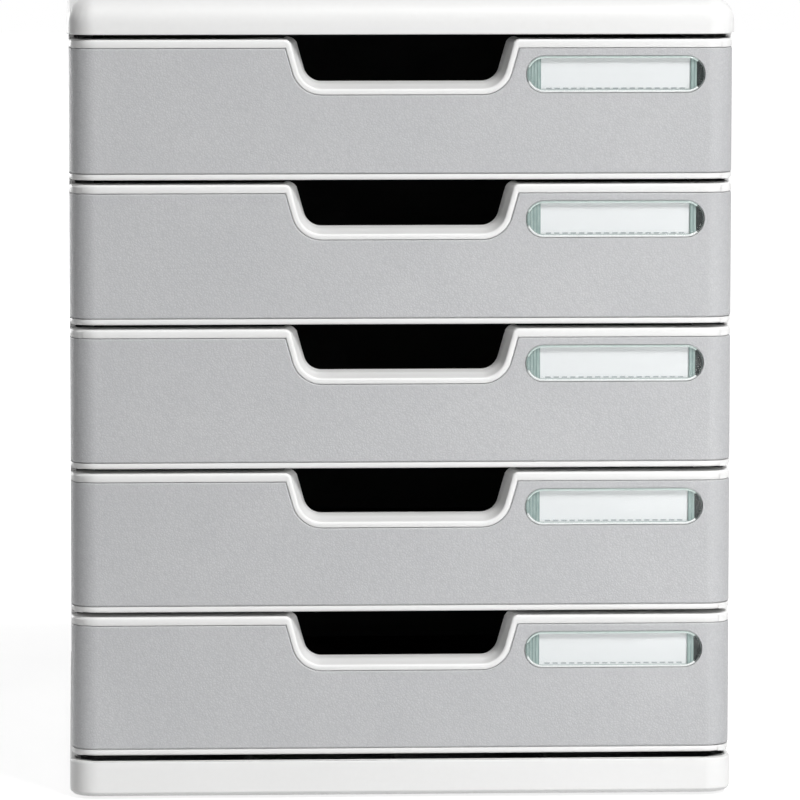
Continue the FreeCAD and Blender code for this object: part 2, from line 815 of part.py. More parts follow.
def make_window():
    """Clear label window with two pegs behind its ends."""
    body = start_drawer_piece("label_window")
    outline = front_sketch(body, "outline", "face_y - window_proud")
    draw_stadium(outline, "window_width", "window_height", "window_x", "window_z")
    pad(body, "plate", outline, "panel_thick + window_proud", backwards=True)
    pegs = front_sketch(body, "peg_outline", "seat_y")
    for name, x in window_peg_places():
        draw_square(pegs, x, "window_z", "window_peg_size", name)
    pad(body, "pegs", pegs, "shell_wall", backwards=True)
    return body


def make_card(number):
    """Paper card that lies in its seat behind the window."""
    card = doc.addObject("Part::Box", f"drawer_{number}_label_card")
    card.Label = card.Name
    card.setExpression("Length", formula("card_width"))
    card.setExpression("Width", formula("card_thick"))
    card.setExpression("Height", formula("card_height"))
    card.setExpression("Placement.Base.x", formula("window_x - card_width / 2"))
    card.setExpression("Placement.Base.y", formula("seat_y + card_air"))
    low = f"{drawer_level(number)} + window_z - card_height / 2"
    card.setExpression("Placement.Base.z", formula(low))
    nodes.append(card)


def make_tray():
    """Dark tray with slide flanges, stop tabs and a front plate that takes the studs."""
    body = start_drawer_piece("tray")
    plan = plan_sketch(body, "plan", "tray_low")
    draw_wrap(plan, "tray_half", "tray_back_y", "plate_front_y", "tray_corner")
    block = pad(body, "block", plan, "tray_top - tray_low")
    low = number_of("tray_low")
    front = number_of("plate_front_y")
    lower = edges_where(block, lambda box: level_edge(box, low) and not near(box.YMax, front))
    dress(body, "low_edges", "Chamfer", block, lower, "tray_bevel")
    flange = plan_sketch(body, "flange_plan", "tray_top - flange_thick")
    right = [
        ("flange_half", "plate_back_y"),
        ("flange_half", "tray_back_y - tab_length"),
        ("tab_half", "tray_back_y - tab_length"),
        ("flange_half", "tray_back_y"),
    ]
    left = [(f"-{x}", y) for x, y in reversed(right)]
    draw_outline(flange, right + left)
    pad(body, "flanges", flange, "flange_thick")
    plate = front_sketch(body, "plate_outline", "plate_back_y")
    plate_half = "(shell_inner - fit_gap)"
    draw_rectangle(plate, f"-{plate_half}", plate_half, "tray_low", "plate_top")
    pad(body, "front_plate", plate, "tray_wall")
    inside = plan_sketch(body, "inside_plan", "tray_top")
    draw_wrap(
        inside,
        "tray_half - tray_wall",
        "tray_back_y - tray_wall",
        "plate_back_y",
        "tray_corner - tray_wall",
    )
    pocket(body, "inside", inside, "tray_top - tray_low - tray_wall")
    notch = front_sketch(body, "notch_outline", "plate_front_y")
    offset = "notch_rim + notch_plate_step"
    draw_notch(notch, offset, f"notch_corner - {offset.replace('+', '-')}", "front_height")
    pocket(body, "notch", notch, "tray_wall + overrun")
    holes = front_sketch(body, "stud_hole_outline", "plate_front_y")
    for name, x, z in stud_places():
        draw_square(holes, x, z, "stud_tip_size + 2 * stud_gap", name)
    pocket(body, "stud_holes", holes, "tray_wall + overrun")
    return body


def main():
    """Make every piece of the unit."""
    make_lid()
    make_base()
    make_side("left_side_panel", -1)
    make_side("right_side_panel", 1)
    make_back()
    make_feet()
    for make in (make_tray, make_front_shell, make_front_panel, make_window):
        master = make()
        for number in range(2, DRAWERS + 1):
            repeat_piece(master, number)
    for number in range(1, DRAWERS + 1):
        make_card(number)


main()
doc.recompute()
for item in doc.Objects:
    if "Invalid" in item.State or "Error" in item.State:
        raise RuntimeError(f"{item.Name} is {item.State}")
os.makedirs("parts", exist_ok=True)
for node in nodes:
    if node.Shape.isNull() or not node.Shape.isValid():
        raise RuntimeError(f"{node.Label} has no valid shape")
    node.Shape.exportStep(f"parts/{node.Label}.step")
    print(node.Label, round(node.Shape.Volume), len(node.Shape.Solids), len(node.Shape.Faces))
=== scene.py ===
import json
import math

import bmesh
import bpy
from mathutils import Matrix, Vector

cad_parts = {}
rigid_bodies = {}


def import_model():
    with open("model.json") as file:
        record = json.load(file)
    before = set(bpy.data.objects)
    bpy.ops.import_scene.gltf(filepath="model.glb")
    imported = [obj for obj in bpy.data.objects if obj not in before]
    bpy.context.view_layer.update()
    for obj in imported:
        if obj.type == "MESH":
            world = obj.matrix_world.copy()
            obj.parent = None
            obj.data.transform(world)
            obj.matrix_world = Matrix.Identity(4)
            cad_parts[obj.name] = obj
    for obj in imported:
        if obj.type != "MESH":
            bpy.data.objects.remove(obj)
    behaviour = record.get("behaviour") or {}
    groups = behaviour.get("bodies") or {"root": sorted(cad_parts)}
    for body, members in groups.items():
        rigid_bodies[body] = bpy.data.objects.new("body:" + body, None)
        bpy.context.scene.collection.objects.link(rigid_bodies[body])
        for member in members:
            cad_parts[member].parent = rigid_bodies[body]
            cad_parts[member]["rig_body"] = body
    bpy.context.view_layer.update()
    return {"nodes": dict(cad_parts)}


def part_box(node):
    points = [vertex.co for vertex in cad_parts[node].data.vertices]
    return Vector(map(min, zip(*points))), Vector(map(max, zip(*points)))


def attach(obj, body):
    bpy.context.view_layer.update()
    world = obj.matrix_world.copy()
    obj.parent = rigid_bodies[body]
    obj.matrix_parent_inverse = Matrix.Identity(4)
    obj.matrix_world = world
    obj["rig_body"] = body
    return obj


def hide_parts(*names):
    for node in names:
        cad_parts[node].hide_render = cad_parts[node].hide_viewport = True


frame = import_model()

MM = 0.001
DRAWERS = (1, 2, 3, 4, 5)

# points closer than these, in metres, are the same point or are joined
SAME, WELD = 1e-6, 2e-6

# facets that differ by less than this angle, in degrees, are one flat face
FLAT_ANGLE = 0.4

# the middle values of a noise, and the whole range of a value
NOISE, FULL = (0.3, 0.7), (0.0, 1.0)

PURE_WHITE = (1.0, 1.0, 1.0, 1.0)


# Materials: noises are given by their scale per metre, their detail and their roughness

def set_sockets(node, **values):
    for name, value in values.items():
        node.inputs[name.replace("_", " ")].default_value = value


class Nodes:
    """A node tree, with short ways to add what the finishes are made of."""

    def __init__(self, tree):
        self.tree = tree

    def link(self, output, socket):
        self.tree.links.new(output, socket)

    def add(self, kind, **settings):
        node = self.tree.nodes.new(kind)
        for name, value in settings.items():
            setattr(node, name, value)
        return node

    def place(self, stretch=(1.0, 1.0, 1.0)):
        """Places on the object itself, in metres times the stretch, so the pattern moves with its piece."""
        place = self.add("ShaderNodeTexCoord")
        mapping = self.add("ShaderNodeMapping")
        set_sockets(mapping, Scale=stretch)
        self.link(place.outputs["Object"], mapping.inputs["Vector"])
        return mapping.outputs["Vector"]

    def noise(self, vector, scale, detail, roughness=0.55):
        node = self.add("ShaderNodeTexNoise")
        set_sockets(node, Scale=scale, Detail=detail, Roughness=roughness)
        self.link(vector, node.inputs["Vector"])
        return node.outputs["Fac"]

    def ranged(self, value, old, new, smooth=False):
        """The value carried over from the old range to the new one."""
        node = self.add("ShaderNodeMapRange", interpolation_type="SMOOTHSTEP" if smooth else "LINEAR")
        set_sockets(node, From_Min=old[0], From_Max=old[1], To_Min=new[0], To_Max=new[1])
        self.link(value, node.inputs["Value"])
        return node.outputs["Result"]

    def joined(self, kind, first, second):
        """Two outputs, or an output and a number, joined by that operation."""
        node = self.add("ShaderNodeMath", operation=kind)
        for socket, value in zip(node.inputs, (first, second)):
            if isinstance(value, (int, float)):
                socket.default_value = value
            else:
                self.link(value, socket)
        return node.outputs[0]

    def mixed(self, factor, first, second):
        """The first colour at factor 0, the second at 1; each is a colour or a node's output."""
        node = self.add("ShaderNodeMix", data_type="RGBA")
        self.link(factor, node.inputs["Factor"])
        for socket, value in ((node.inputs[6], first), (node.inputs[7], second)):
            if isinstance(value, tuple):
                socket.default_value = (*value, 1.0)
            else:
                self.link(value, socket)
        return node.outputs[2]


class Finish(Nodes):
    """A new material and its shader."""

    def __init__(self, name):
        self.material = bpy.data.materials.new(name)
        self.material.use_nodes = True
        super().__init__(self.material.node_tree)
        self.shader = self.tree.nodes["Principled BSDF"]

    def drive(self, socket, value):
        """Lets a value that varies over the surface set one of the shader's sockets."""
        self.link(value, self.shader.inputs[socket])

    def bump(self, height, strength, depth):
        node = self.add("ShaderNodeBump")
        set_sockets(node, Strength=strength, Distance=depth)
        self.link(height, node.inputs["Height"])
        self.drive("Normal", node.outputs["Normal"])


class Moulding:
    clouds, specks = (14.0, 2.0), (420.0, 4.0)
    cloud_share, speck_share = 0.6, 0.4
    gloss, gloss_below, gloss_above = (60.0, 4.0), 0.04, 0.05
    grain, grain_depth = (2400.0, 2.0), 0.06 * MM
    ior = 1.48


def moulded(name, dark, light, roughness, texture=0.12):
    """Moulded plastic: a slightly uneven colour and gloss, and a very fine surface."""
    finish = Finish(name)
    place = finish.place()
    clouds = finish.joined("MULTIPLY", finish.noise(place, *Moulding.clouds), Moulding.cloud_share)
    specks = finish.joined("MULTIPLY", finish.noise(place, *Moulding.specks), Moulding.speck_share)
    uneven = finish.ranged(finish.joined("ADD", clouds, specks), NOISE, FULL)
    finish.drive("Base Color", finish.mixed(uneven, dark, light))
    gloss = (roughness - Moulding.gloss_below, roughness + Moulding.gloss_above)
    finish.drive("Roughness", finish.ranged(finish.noise(place, *Moulding.gloss), NOISE, gloss))
    finish.bump(finish.noise(place, *Moulding.grain), texture, Moulding.grain_depth)
    set_sockets(finish.shader, IOR=Moulding.ior)
    return finish.material


class Leather:
    drift_scale, drift_detail, drift_reach = 520.0, 3.0, 1.6 * MM
    pebble_scale, crease_width = 820.0, 0.30
    wrinkles, wrinkle_values = (460.0, 5.0, 0.62), (0.34, 0.66)
    clouds = (26.0, 3.0)
    dark, light = (0.472, 0.477, 0.488), (0.500, 0.504, 0.513)
    # painted shade: the darker colours of the wrinkles' and the creases' low parts, where the relief sinks
    wrinkle_colour, wrinkle_share = (0.35, 0.355, 0.37), 0.26
    crease_colour, crease_share, crease_reach = (0.28, 0.285, 0.30), 0.18, 0.6
    gloss = (0.60, 0.47)
    pebble_height, wrinkle_height = 0.55, 1.3
    relief, relief_depth = 0.62, 0.14 * MM
    ior, specular = 1.55, 0.85


def leather_panel(name):
    """Embossed sheet: small irregular pebbles parted by fine creases, with painted shade that darkens the
    creases and the low parts of the wrinkles.
    """
    finish = Finish(name)
    place = finish.place()
    drift = finish.add("ShaderNodeTexNoise")
    set_sockets(drift, Scale=Leather.drift_scale, Detail=Leather.drift_detail)
    finish.link(place, drift.inputs["Vector"])
    drifted = finish.add("ShaderNodeVectorMath", operation="MULTIPLY_ADD")
    finish.link(drift.outputs["Color"], drifted.inputs[0])
    drifted.inputs[1].default_value = (Leather.drift_reach,) * 3
    finish.link(place, drifted.inputs[2])
    cells = finish.add("ShaderNodeTexVoronoi", feature="DISTANCE_TO_EDGE")
    set_sockets(cells, Scale=Leather.pebble_scale, Randomness=1.0)
    finish.link(drifted.outputs["Vector"], cells.inputs["Vector"])
    pebbles = finish.ranged(cells.outputs["Distance"], (0.0, Leather.crease_width), FULL, smooth=True)
    wrinkles = finish.noise(drifted.outputs["Vector"], *Leather.wrinkles)
    clouds = finish.ranged(finish.noise(place, *Leather.clouds), NOISE, FULL)
    base = finish.mixed(clouds, Leather.dark, Leather.light)
    # painted shade, darker where the wrinkles and the creases sink
    in_wrinkle = finish.ranged(wrinkles, Leather.wrinkle_values, (Leather.wrinkle_share, 0.0))
    wrinkled = finish.mixed(in_wrinkle, base, Leather.wrinkle_colour)
    in_crease = finish.ranged(pebbles, (0.0, Leather.crease_reach), (Leather.crease_share, 0.0))
    finish.drive("Base Color", finish.mixed(in_crease, wrinkled, Leather.crease_colour))
    finish.drive("Roughness", finish.ranged(pebbles, FULL, Leather.gloss))
    height = finish.joined("ADD", finish.joined("MULTIPLY", pebbles, Leather.pebble_height),
                           finish.joined("MULTIPLY", wrinkles, Leather.wrinkle_height))
    finish.bump(height, Leather.relief, Leather.relief_depth)
    set_sockets(finish.shader, IOR=Leather.ior, Specular_IOR_Level=Leather.specular)
    return finish.material


class Paper:
    stretch, fibres = (1.0, 1.0, 2.4), (900.0, 5.0, 0.7)
    dark, light = (0.80, 0.815, 0.825), (0.85, 0.862, 0.868)
    gloss = (0.75, 0.9)
    relief, relief_depth = 0.15, 0.05 * MM


def paper_card(name):
    """Paper, with fine fibres in its colour, gloss and surface."""
    finish = Finish(name)
    fibres = finish.noise(finish.place(Paper.stretch), *Paper.fibres)
    finish.drive("Base Color", finish.mixed(finish.ranged(fibres, NOISE, FULL), Paper.dark, Paper.light))
    finish.drive("Roughness", finish.ranged(fibres, NOISE, Paper.gloss))
    finish.bump(fibres, Paper.relief, Paper.relief_depth)
    return finish.material


class Clear:
    stretch, flow = (1.0, 1.0, 3.0), (70.0, 2.0)
    dark, light, alpha = (0.62, 0.74, 0.72), (0.68, 0.80, 0.78), 0.035
    gloss = (0.06, 0.11)
    relief, relief_depth = 0.05, 0.2 * MM
    ior = 2.0


def clear_plastic(name):
    """Clear moulding: a thin tint, and a faint flow pattern in its gloss."""
    finish = Finish(name)
    flow = finish.noise(finish.place(Clear.stretch), *Clear.flow)
    finish.drive("Base Color", finish.mixed(finish.ranged(flow, NOISE, FULL), Clear.dark, Clear.light))
    finish.drive("Roughness", finish.ranged(flow, NOISE, Clear.gloss))
    finish.bump(flow, Clear.relief, Clear.relief_depth)
    set_sockets(finish.shader, IOR=Clear.ior, Alpha=Clear.alpha)
    return finish.material


class ClearEdge:
    flow, flow_lean = (240.0, 2.0), (-0.12, 0.12)
    # how far the surface has to turn up, down or to the right for each colour: painted shade above, painted
    # highlight below, a painted dark reflection at the right
    up, down, right = (0.05, 0.8), (0.1, 0.75), (0.25, 0.8)
    # the up and down colours are painted shade and a painted highlight, the right one a painted dark
    # reflection
    side_colour, up_colour = (0.52, 0.63, 0.60), (0.42, 0.52, 0.50)
    down_colour, right_colour = (0.90, 0.93, 0.92), (0.03, 0.05, 0.05)
    roughness, ior, alpha = 0.08, 1.6, 0.8


def window_edge(name):
    """The clear moulding's thick edge: sea green, with a painted highlight where it looks down, painted shade
    where it looks up and a painted dark reflection at its right end.
    """
    finish = Finish(name)
    place = finish.add("ShaderNodeTexCoord")
    turned = finish.add("ShaderNodeSeparateXYZ")
    finish.link(place.outputs["Normal"], turned.inputs["Vector"])
    flow = finish.noise(place.outputs["Object"], *ClearEdge.flow)
    lean = finish.joined("ADD", turned.outputs["Z"], finish.ranged(flow, NOISE, ClearEdge.flow_lean))
    # painted shade where the edge looks up, a painted highlight where it looks down, a painted dark
    # reflection where it looks right
    upward = finish.ranged(lean, ClearEdge.up, FULL, smooth=True)
    downward = finish.ranged(finish.joined("MULTIPLY", lean, -1.0), ClearEdge.down, FULL, smooth=True)
    rightward = finish.ranged(turned.outputs["X"], ClearEdge.right, FULL, smooth=True)
    green = finish.mixed(upward, ClearEdge.side_colour, ClearEdge.up_colour)
    ends = finish.mixed(rightward, green, ClearEdge.right_colour)
    finish.drive("Base Color", finish.mixed(downward, ends, ClearEdge.down_colour))
    set_sockets(finish.shader, Roughness=ClearEdge.roughness, IOR=ClearEdge.ior, Alpha=ClearEdge.alpha)
    return finish.material


class Ribs:
    stretch, streaks, streak_values = (1.0, 1.0, 0.12), (1500.0, 3.0), (0.35, 0.65)
    gloss = (0.15, 0.3)
    ior, specular = 1.5, 0.2


def ribbed_green(name, dark, light):
    """What the clear moulding's ribs and edges show: one colour each, with upright streaks."""
    finish = Finish(name)
    streaks = finish.noise(finish.place(Ribs.stretch), *Ribs.streaks)
    finish.drive("Base Color", finish.mixed(finish.ranged(streaks, Ribs.streak_values, FULL), dark, light))
    finish.drive("Roughness", finish.ranged(streaks, NOISE, Ribs.gloss))
    set_sockets(finish.shader, IOR=Ribs.ior, Specular_IOR_Level=Ribs.specular)
    return finish.material


# the finish of each CAD slot
FINISH = {
    "white_plastic": moulded("white_plastic", (0.818, 0.818, 0.811), (0.845, 0.845, 0.840), 0.36),
    "panel_grey": leather_panel("panel_grey"),
    "tray_charcoal": moulded("tray_charcoal", (0.013, 0.013, 0.015), (0.022, 0.022, 0.024), 0.46,
                             texture=0.3),
    "window_clear": clear_plastic("window_clear"),
    "card_white": paper_card("card_white"),
    "rubber_grey": moulded("rubber_grey", (0.11, 0.11, 0.115), (0.16, 0.16, 0.165), 0.75, texture=0.5),
}
clear_edge = window_edge("window_edge")
# the grooves are darker than the ribs as painted shade; the near black ribs and grooves are a painted dark
# reflection
pale_rib = ribbed_green("window_pale_ribs", (0.31, 0.41, 0.39), (0.40, 0.50, 0.48))
pale_groove = ribbed_green("window_grooves", (0.22, 0.30, 0.29), (0.30, 0.38, 0.36))
dark_rib = ribbed_green("window_deep_ribs", (0.002, 0.004, 0.004), (0.02, 0.028, 0.026))
dark_groove = ribbed_green("window_dark_grooves", (0.001, 0.003, 0.003), (0.008, 0.012, 0.012))
# the white line is a painted highlight along the moulding's lower edge
white_line = ribbed_green("window_line_white", (0.88, 0.90, 0.90), (0.93, 0.94, 0.94))
green_line = ribbed_green("window_line_green", (0.42, 0.49, 0.47), (0.50, 0.57, 0.55))
pale_line = ribbed_green("window_line_pale", (0.60, 0.70, 0.67), (0.68, 0.77, 0.74))
# grey dashes of painted shade, for the holes of the card's perforated edge
perforation = moulded("card_perforation", (0.40, 0.43, 0.45), (0.50, 0.53, 0.54), 0.8)


# Pieces that follow their CAD nodes

# what a CAD mesh says about its shading, which a refined copy works out anew
CAD_SHADING = ("custom_normal", "sharp_edge", "sharp_face")

# how much a large face leads the shading of its rounded edges
NORMAL_WEIGHT = 80


def copied_shape(mesh):
    """The mesh of a CAD node with its facets joined into whole faces."""
    shape = bmesh.new()
    shape.from_mesh(mesh)
    bmesh.ops.remove_doubles(shape, verts=shape.verts, dist=WELD)
    bmesh.ops.dissolve_limit(shape, angle_limit=math.radians(FLAT_ANGLE), use_dissolve_boundaries=False,
                             verts=shape.verts, edges=shape.edges)
    return shape


def added(name, data):
    """A new object in the scene."""
    item = bpy.data.objects.new(name, data)
    bpy.context.scene.collection.objects.link(item)
    return item


def smooth_mesh(name, shape, finishes, angle):
    """A mesh of the shape, smooth up to that angle, with its finishes in order."""
    for face in shape.faces:
        face.smooth = True
    mesh = bpy.data.meshes.new(name)
    shape.to_mesh(mesh)
    shape.free()
    for layer in CAD_SHADING:
        if layer in mesh.attributes:
            mesh.attributes.remove(mesh.attributes[layer])
    for finish in finishes:
        mesh.materials.append(finish)
    mesh.set_sharp_from_angle(angle=math.radians(angle))
    return mesh


def standing_for(node, shape, finish, angle):
    """A piece of that shape that stands for the CAD node and rides with it."""
    for face in shape.faces:
        face.material_index = 0
    piece = added(node + "_shape", smooth_mesh(node + "_shape", shape, [FINISH[finish]], angle))
    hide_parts(node)
    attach(piece, frame["nodes"][node]["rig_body"])
    return piece


def mark_edges(shape, angle, low, high):
    """Marks the hard edges to be rounded: all but those inside the box."""
    weight = shape.edges.layers.float.new("bevel_weight_edge")
    for edge in shape.edges:
        inside = all(a <= value <= b for vert in edge.verts for a, value, b in zip(low, vert.co, high))
        if not inside and edge.calc_face_angle(0.0) > math.radians(angle):
            edge[weight] = 1.0


def refined(node, finish, edge, segments=2, angle=32.0, sharp_box=None):
    """A copy of the CAD node with its hard edges rounded, in the same place."""
    shape = copied_shape(frame["nodes"][node].data)
    if sharp_box:
        mark_edges(shape, angle, *sharp_box)
    piece = standing_for(node, shape, finish, angle)
    if edge:
        bevel = piece.modifiers.new("edges", "BEVEL")
        bevel.limit_method = "WEIGHT" if sharp_box else "ANGLE"
        bevel.angle_limit = math.radians(angle)
        bevel.width = edge
        bevel.segments = segments
        bevel.use_clamp_overlap = False
        bevel.harden_normals = False
        bevel.miter_outer = "MITER_ARC"
        weighted = piece.modifiers.new("normals", "WEIGHTED_NORMAL")
        weighted.keep_sharp = False
        weighted.weight = NORMAL_WEIGHT
    return piece


# The moulded front shell: swept rims over the core of its CAD node

class Front:
    """Sizes of a drawer's front, in millimetres; heights are from its lower edge."""

    half, top = 143.2, 60.4
    face, back, seat_depth = -168.7, -154.1, 1.2
    corner = 12.0
    low_rim, top_rim, notch_rim, side_rim = 2.4, 3.6, 2.6, 2.0
    notch_half, notch_drop, notch_corner = 50.1, 20.1, 13.0
    flank_share = 0.283
    crest = 3.0
    collar, draft = 10.7, 2.7
    edge, low_edge, seam_edge, rear_edge = 1.15, 0.8, 0.22, 0.6
    # how round the seam's and the rear's edges are
    soft = 0.3

    seam = top - top_rim
    steep = 1.0 / math.sqrt(1.0 + flank_share ** 2)
    flank = Vector((-steep, flank_share * steep))

    # into how many parts bends, crests, straight runs and edges are split
    bend_parts, crest_parts, flank_parts, top_parts, edge_parts, low_edge_parts = 14, 8, 3, 4, 6, 4
    floor_shares, low_shares = (0.0, 0.4, 0.8), (0.0, 0.5)


def arc(first, last, parts):
    """Directions from one to the other, turning evenly."""
    start, stop = math.atan2(first.y, first.x), math.atan2(last.y, last.x)
    turn = (stop - start + math.pi) % (2 * math.pi) - math.pi
    angles = [start + turn * step / parts for step in range(parts + 1)]
    return [Vector((math.cos(a), math.sin(a))) for a in angles]


def run(start, stop, parts):
    """Places between the two, both left out."""
    return [start.lerp(stop, step / parts) for step in range(1, parts)]


def rounded_edge(place, ahead, out, radius, parts):
    """Points round an edge at the place, from the way the face looks to the way out."""
    middle = place - (out + ahead) * radius
    turns = [math.pi / 2 * step / parts for step in range(parts + 1)]
    return [middle + (ahead * math.cos(turn) + out * math.sin(turn)) * radius for turn in turns]


def wrap_stations():
    """Round the right corner and along the side: place in plan, and the way the face looks there."""
    centre = Vector((Front.half - Front.corner, Front.face + Front.corner))
    ways = arc(Vector((0, -1)), Vector((1, 0)), Front.bend_parts)
    rear = (Vector((Front.half, Front.back)), Vector((1, 0)))
    return [(centre + way * Front.corner, way) for way in ways] + [rear]


def seam_points(seam_place, ahead, wall):
    """Points up the seam's wall and round its edge; wall is the way from the seam to the rim."""
    small = Front.seam_edge
    return [seam_place - ahead * Front.seat_depth, seam_place - ahead * small,
            seam_place + (wall - ahead) * small * Front.soft, seam_place + wall * small]


def top_section(place, seam_place, ahead, out, depth, drift, far=None):
    """Points across the rim: seam wall, rim face, rounded edge, depth face and rear edge.

    ahead is the way the face looks and out the way the rim's edge looks. The depth face drifts
    out as it goes back. far, if given, is where a level depth face ends."""
    points = seam_points(seam_place, ahead, (place - seam_place).normalized())
    points += rounded_edge(place, ahead, out, Front.edge, Front.edge_parts)
    start = points[-1]
    if far is not None:
        return points + [start.lerp(far, 0.5), far, far, far]
    rear = Front.rear_edge
    stop = place - ahead * (depth - rear) + out * drift
    points += [start.lerp(stop, 0.5), stop]
    points.append(stop - (ahead * (1.0 - Front.soft) + out * Front.soft) * rear)
    points.append(stop - (ahead + out) * rear)
    return points


def right_top_sections():
    """Sections along the right half of the notch and the top rim, from the ledge to the side."""
    ahead, top_out = Vector((0, -1, 0)), Vector((0, 0, 1))
    up, flank = Vector((0, 1)), Front.flank
    full_depth = Front.back - Front.face
    seam_corner = Vector((Front.notch_half, Front.face, Front.seam))
    centre_z = Front.seam - Front.notch_drop + Front.notch_corner
    reach = Front.notch_corner + (Front.seam - centre_z) * flank.y
    centre = Vector((Front.notch_half - reach / Front.steep, centre_z))
    mouth_radius = Front.notch_corner - Front.notch_rim
    crest_z = Front.top - Front.crest
    shift = ((crest_z - Front.seam) * flank.y - Front.notch_rim + Front.crest) / Front.steep
    crest_centre = Vector((Front.notch_half + shift, crest_z))

    def front_place(flat):
        return Vector((flat.x, Front.face, flat.y))

    def out_of(way):
        return Vector((way.x, 0, way.y))

    stations = [(Vector((centre.x * share, centre.y - mouth_radius)), up) for share in Front.floor_shares]
    stations += [(centre - way * mouth_radius, way) for way in arc(up, flank, Front.bend_parts)]
    flank_end = crest_centre + flank * Front.crest
    stations += [(place, flank) for place in run(stations[-1][0], flank_end, Front.flank_parts)]
    sections = []
    for place, way in stations:
        seam_place = front_place(place - way * Front.notch_rim)
        sections.append(top_section(front_place(place), seam_place, ahead, out_of(way), Front.collar,
                                    Front.draft))
    for step, way in enumerate(arc(flank, up, Front.crest_parts)):
        # the collar's draft runs out over the crest, and its depth reaches the back halfway over it
        share = step / Front.crest_parts
        depth = Front.collar + (full_depth - Front.collar) * min(1.0, share * 2)
        sections.append(top_section(front_place(crest_centre + way * Front.crest), seam_corner, ahead,
                                    out_of(way), depth, Front.draft * (1.0 - share)))
    start, stop = (Vector((x, Front.top)) for x in (crest_centre.x, Front.half - Front.corner))
    for place in run(start, stop, Front.top_parts):
        sections.append(top_section(front_place(place), front_place(place - up * Front.top_rim), ahead,
                                    top_out, full_depth, 0.0))
    far = Vector((Front.half - Front.corner, Front.back, Front.top))
    for plan, way in wrap_stations():
        place = Vector((plan.x, plan.y, Front.top))
        sections.append(top_section(place, place - top_out * Front.top_rim, Vector((way.x, way.y, 0)),
                                    top_out, 0.0, 0.0, far))
    return sections


def right_low_sections():
    """Sections of the low rim, from the middle to the side."""
    down = Vector((0, 0, -1))
    sections = []
    stations = [(Vector((Front.half * share, Front.face)), Vector((0, -1))) for share in Front.low_shares]
    for plan, way in stations + wrap_stations():
        ahead = Vector((way.x, way.y, 0))
        place = Vector((plan.x, plan.y, 0.0))
        points = seam_points(place - down * Front.low_rim, ahead, down)
        points += rounded_edge(place, ahead, down, Front.low_edge, Front.low_edge_parts)
        points.append(Vector((min(plan.x, Front.half - Front.corner), Front.back, 0.0)))
        sections.append(points)
    return sections


def side_rim_sections():
    """Sections of the upright rim behind the panel's end, from low to high."""
    ahead, back = Vector((1, 0, 0)), Vector((0, 1, 0))
    small = Front.seam_edge
    sections = []
    for z in (Front.low_rim / 2, Front.seam + Front.top_rim / 2):
        start = Vector((Front.half, Front.back - Front.side_rim, z))
        stop = Vector((Front.half, Front.back, z))
        points = [start - ahead * Front.seat_depth, start - ahead * small, start + back * small]
        points += rounded_edge(stop, ahead, back, Front.low_edge, Front.low_edge_parts)
        points.append(stop - ahead * Front.side_rim)
        sections.append(points)
    return sections


def skin(shape, sections, mirrored, level):
    """Faces between a row of sections, on the right or mirrored to the left."""
    side = -1.0 if mirrored else 1.0
    rows = [[shape.verts.new((p.x * side * MM, p.y * MM, (p.z + level) * MM)) for p in row]
            for row in sections]
    for first, second in zip(rows, rows[1:]):
        for a, b, c, d in zip(first, first[1:], second[1:], second):
            corners = []
            for vert in (a, b, c, d):
                if all((vert.co - kept.co).length > SAME for kept in corners):
                    corners.append(vert)
            if len(corners) > 2:
                shape.faces.new(corners if mirrored else corners[::-1])


def cut_outer_faces(shape, level):
    """Takes away the faces of the CAD copy that the swept rims stand for."""
    slack, mouth_margin = 0.02, 4.0
    upright, leaning = 0.99, 0.2
    seat = Front.face + Front.seat_depth
    doomed = []
    for face in shape.faces:
        x, y, z = (value / MM for value in face.calc_center_median())
        z -= level
        corners = [vert.co / MM for vert in face.verts]
        in_front = min(corner.y for corner in corners) < seat - slack
        at_side = max(abs(corner.x) for corner in corners) > Front.half - Front.seat_depth + slack
        level_end = abs(face.normal.z) > upright and (z > Front.top - slack or z < slack)
        in_mouth = (abs(x) < Front.notch_half + mouth_margin and z > Front.seam - Front.notch_drop
                    and y < Front.back)
        opens = in_mouth and (abs(face.normal.x) > leaning or face.normal.z > leaning)
        if in_front or at_side or level_end or opens:
            doomed.append(face)
    bmesh.ops.delete(shape, geom=doomed, context="FACES")


def front_shell(number):
    node = f"drawer_{number}_front_shell"
    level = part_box(node)[0].z / MM
    core = copied_shape(frame["nodes"][node].data)
    cut_outer_faces(core, level)
    for mirrored in (False, True):
        skin(core, right_top_sections(), mirrored, level)
        skin(core, right_low_sections()[::-1], mirrored, level)
        skin(core, side_rim_sections()[::-1], mirrored, level)
    bmesh.ops.remove_doubles(core, verts=core.verts, dist=WELD)
    standing_for(node, core, "white_plastic", angle=40.0)


# The label window and its card

class Window:
    """Sizes of the label window and its card, in millimetres."""

    edge, edge_parts, edge_angle = 0.5, 4, 50
    # a face of the moulding belongs to its thick edge if it looks less straight ahead than this
    ahead_share = 0.93
    lens_back, card_gap = 0.9, 0.02
    around, around_depth = 0.6, 3.0
    groove, rib, rib_step, rib_inset = 0.42, 0.95, 0.22, 0.25
    # the last rib stays this share of the round end away from its tip
    tip_share = 0.97
    dark_reach = 3.3
    line_depth, line_parts = 0.12, 12
    # each part: the end it goes round, and its first and last turn in degrees, 0 at the tip
    over = ((-1, 25, 90), (1, 90, 50))
    under = ((-1, -25, -90), (1, -90, -50))
    right_tip = ((1, 50, -50),)
    # parts, outer and inner inset, and finish; the white line below is a painted highlight and the dark one
    # round the right tip a painted dark reflection
    lines = ((under, 0.0, 0.8, white_line), (under, 0.8, 1.1, green_line), (over, -0.1, 0.3, green_line),
             (over, 0.3, 0.8, pale_line), (right_tip, 0.0, 0.9, dark_groove))
    dash, dash_space, dash_height, dash_rise, dash_proud = 2.3, 1.3, 0.62, 0.45, 0.03


